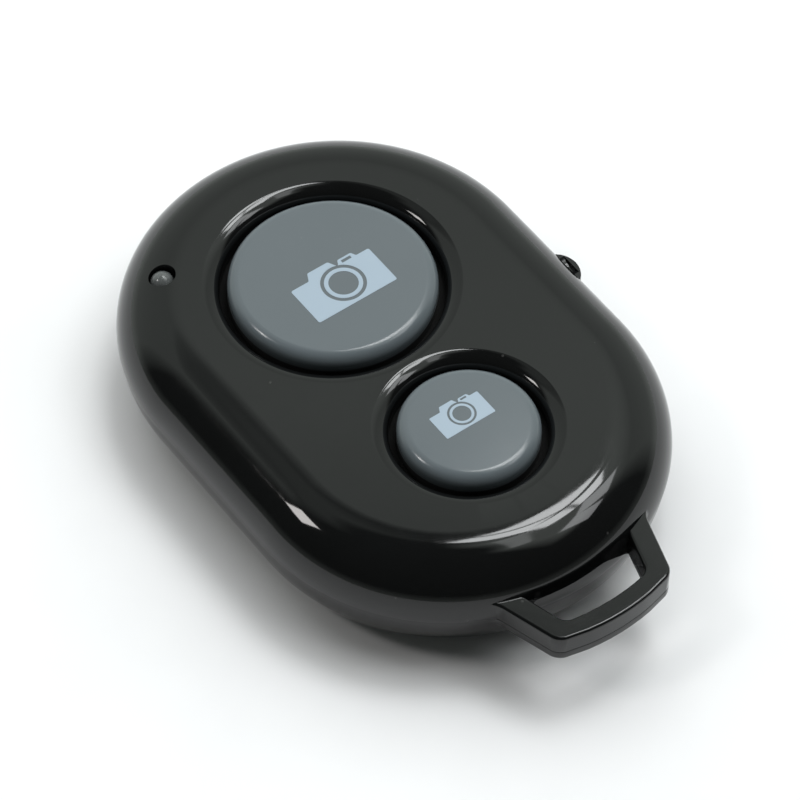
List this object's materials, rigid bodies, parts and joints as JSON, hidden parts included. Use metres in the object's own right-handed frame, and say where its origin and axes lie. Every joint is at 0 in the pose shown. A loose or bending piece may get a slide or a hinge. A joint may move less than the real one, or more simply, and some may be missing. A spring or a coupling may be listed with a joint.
{
  "type": "camera shutter remote",
  "caption": "Pocket wireless camera shutter remote: stadium-shaped glossy two-shell case, large and small round press buttons, side power switch, status light and lanyard loop.",
  "frame": {"origin": "middle of the flat back face, midway between the case's two round ends", "axes": "+Z out of the front face, +Y towards the large button's end, -Y towards the lanyard loop, +X towards the power switch"},
  "size_m": [0.0323, 0.0494, 0.0099],
  "materials": {
    "case_black": "gloss black moulding",
    "button_grey": "semi-gloss grey moulding with a pale printed mark",
    "board_green": "solder-masked glass-fibre laminate",
    "screw_steel": "plated steel",
    "switch_black": "matt moulding",
    "cover_steel": "tinned sheet steel",
    "plunger_black": "matt moulding",
    "dome_steel": "spring steel",
    "lead_tin": "tinned",
    "switch_brown": "phenolic moulding",
    "knob_black": "gloss black moulding",
    "lens_grey": "clouded clear resin",
    "chip_black": "moulded epoxy",
    "can_steel": "drawn metal can",
    "capacitor_tan": "fired ceramic",
    "resistor_black": "glazed film",
    "aerial_copper": "gold-flashed copper",
    "clip_steel": "spring steel, nickel plated",
    "cell_steel": "nickel-plated steel",
    "gasket_black": "moulded nylon seal"
  },
  "bodies": {
    "back_case": {"back_shell": "case_black"},
    "front_case": {"front_shell": "case_black", "circuit_board": "board_green", "board_screws": "screw_steel", "large_key_base": "switch_black", "large_key_cover": "cover_steel", "large_key_dome": "dome_steel", "large_key_leads": "lead_tin", "small_key_base": "switch_black", "small_key_cover": "cover_steel", "small_key_dome": "dome_steel", "small_key_leads": "lead_tin", "power_switch_case": "cover_steel", "power_switch_base": "switch_brown", "power_switch_leads": "lead_tin", "status_light_lens": "lens_grey", "status_light_leads": "lead_tin", "radio_chip": "chip_black", "crystal_can": "can_steel", "capacitors": "capacitor_tan", "resistors": "resistor_black", "component_ends": "lead_tin", "printed_aerial": "aerial_copper", "cell_clip": "clip_steel", "cell_contact": "clip_steel", "cell_can": "cell_steel", "cell_gasket": "gasket_black", "cell_cap": "cell_steel"},
    "large_button": {"large_button": "button_grey"},
    "small_button": {"small_button": "button_grey"},
    "large_plunger": {"large_key_plunger": "plunger_black"},
    "small_plunger": {"small_key_plunger": "plunger_black"},
    "power_slider": {"power_switch_knob": "knob_black"}
  },
  "joints": [
    {"name": "case_opening", "type": "slide", "parent": "back_case", "child": "front_case", "axis": [0, 0, 1], "range_m": [0, 0.02]},
    {"name": "large_button_press", "type": "slide", "parent": "front_case", "child": "large_button", "axis": [0, 0, -1], "range_m": [0, 0.00025], "stiffness_N_per_m": 3000},
    {"name": "small_button_press", "type": "slide", "parent": "front_case", "child": "small_button", "axis": [0, 0, -1], "range_m": [0, 0.00025], "stiffness_N_per_m": 3000},
    {"name": "large_plunger_travel", "type": "slide", "parent": "front_case", "child": "large_plunger", "axis": [0, 0, -1], "range_m": [0, 0.00025], "stiffness_N_per_m": 2},
    {"name": "small_plunger_travel", "type": "slide", "parent": "front_case", "child": "small_plunger", "axis": [0, 0, -1], "range_m": [0, 0.00025], "stiffness_N_per_m": 2},
    {"name": "power_slide", "type": "slide", "parent": "front_case", "child": "power_slider", "axis": [0, 1, 0], "range_m": [0, 0.002]}
  ],
  "couplings": [
    {"joint": "large_plunger_travel", "follows": "large_button_press", "ratio": 1},
    {"joint": "small_plunger_travel", "follows": "small_button_press", "ratio": 1}
  ]
}
